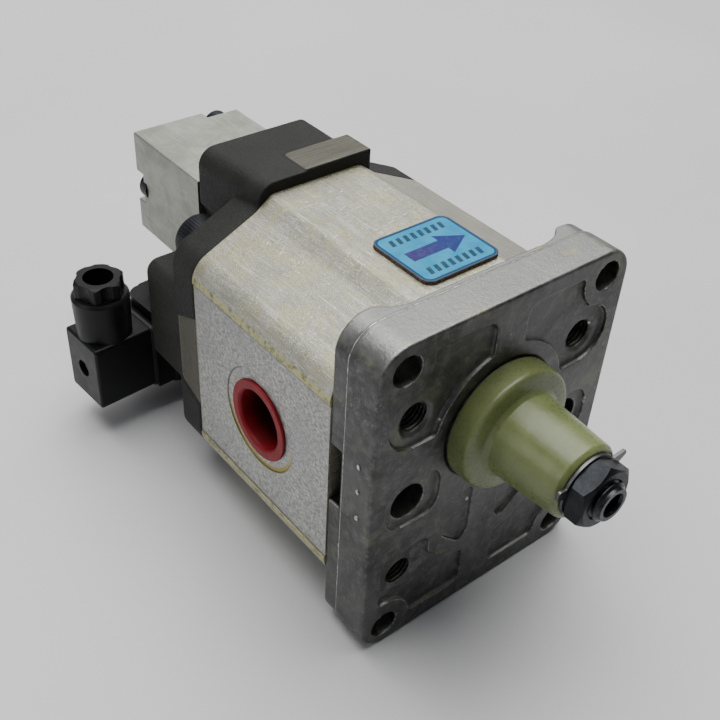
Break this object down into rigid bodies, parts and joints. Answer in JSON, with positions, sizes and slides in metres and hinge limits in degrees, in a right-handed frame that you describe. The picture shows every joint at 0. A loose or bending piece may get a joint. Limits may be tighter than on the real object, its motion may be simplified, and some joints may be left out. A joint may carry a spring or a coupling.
{
  "type": "hydraulic gear pump",
  "caption": "External gear pump with a rectangular mounting flange, tapered drive shaft under a protective sleeve, plugged side ports and a solenoid valve on its rear cover.",
  "frame": {"origin": "centre of the four mounting holes, on the flange's mounting face", "axes": "-Y along the drive shaft, out of the mounting face; +Z from the driven gear towards the drive gear; X from port to port"},
  "size_m": [0.109, 0.198, 0.1118],
  "materials": {
    "flange_casting": "die-cast aluminium, as cast, dull and slightly stained",
    "body_casting": "extruded aluminium, streaked, milled on the port faces",
    "cover_iron": "dark grey cast iron, as cast with milled pads",
    "gear_steel": "case-hardened steel, ground",
    "bearing_alloy": "machined aluminium bearing alloy",
    "bush_bronze": "lead-bronze lined bush",
    "seal_rubber": "matt nitrile rubber",
    "spring_steel": "phosphated spring steel",
    "sleeve_plastic": "translucent yellow-green polyethylene",
    "washer_steel": "zinc-plated sheet steel",
    "black_steel": "blackened high-tensile steel",
    "plug_plastic": "red polyethylene",
    "label_plate": "printed plastic plate with a dark edge",
    "block_alloy": "milled aluminium, satin",
    "zinc_steel": "zinc-plated steel",
    "copper_wire": "enamelled copper winding",
    "coil_plastic": "black moulded resin",
    "connector_plastic": "black glass-filled nylon"
  },
  "bodies": {
    "casing": {"front_flange": "flange_casting", "pump_body": "body_casting", "rear_cover": "cover_iron", "front_bearing_block": "bearing_alloy", "rear_bearing_block": "bearing_alloy", "bearing_bushes": "bush_bronze", "front_pressure_seal": "seal_rubber", "rear_pressure_seal": "seal_rubber", "front_casing_seal": "seal_rubber", "rear_casing_seal": "seal_rubber", "shaft_seal": "seal_rubber", "seal_clip": "spring_steel", "tie_bolts": "black_steel", "tie_bolt_washers": "black_steel", "dowel_pins": "gear_steel", "rotation_label": "label_plate", "valve_block": "block_alloy", "valve_block_screws": "black_steel", "valve_block_seals": "seal_rubber", "cartridge_body": "zinc_steel", "cartridge_seals": "seal_rubber", "valve_seat": "gear_steel", "return_spring": "spring_steel", "armature_tube": "zinc_steel", "coil_winding": "copper_wire", "coil_body": "coil_plastic", "coil_terminals": "washer_steel", "coil_nut": "coil_plastic", "coil_nut_seal": "seal_rubber", "connector_gasket": "seal_rubber", "connector_housing": "connector_plastic", "connector_insert": "connector_plastic", "connector_screw": "washer_steel", "gland_nut": "connector_plastic", "gland_washer": "washer_steel", "gland_seal": "seal_rubber"},
    "drive_shaft": {"drive_gear_shaft": "gear_steel", "shaft_key": "gear_steel", "protective_sleeve": "sleeve_plastic", "tab_washer": "washer_steel", "shaft_nut": "black_steel"},
    "driven_shaft": {"driven_gear_shaft": "gear_steel"},
    "valve_plunger": {"armature": "gear_steel", "push_pin": "gear_steel", "valve_needle": "gear_steel"},
    "left_plug": {"port_plug_left": "plug_plastic"},
    "right_plug": {"port_plug_right": "plug_plastic"}
  },
  "joints": [
    {"name": "shaft_spin", "type": "hinge", "parent": "casing", "child": "drive_shaft", "pos_m": [0, 0, 0.0155], "axis": [0, 1, 0], "continuous": true},
    {"name": "driven_spin", "type": "hinge", "parent": "casing", "child": "driven_shaft", "pos_m": [0, 0, -0.0155], "axis": [0, 1, 0], "continuous": true},
    {"name": "plunger_stroke", "type": "slide", "parent": "casing", "child": "valve_plunger", "axis": [0, 0, 1], "range_m": [0, 0.0016], "stiffness_N_per_m": 900, "springref_m": -0.003, "deforming": ["return_spring"]},
    {"name": "left_plug_pull", "type": "slide", "parent": "casing", "child": "left_plug", "axis": [-1, 0, 0], "range_m": [0, 0.03]},
    {"name": "right_plug_pull", "type": "slide", "parent": "casing", "child": "right_plug", "axis": [1, 0, 0], "range_m": [0, 0.03]}
  ],
  "couplings": [
    {"joint": "driven_spin", "follows": "shaft_spin", "ratio": -1}
  ]
}
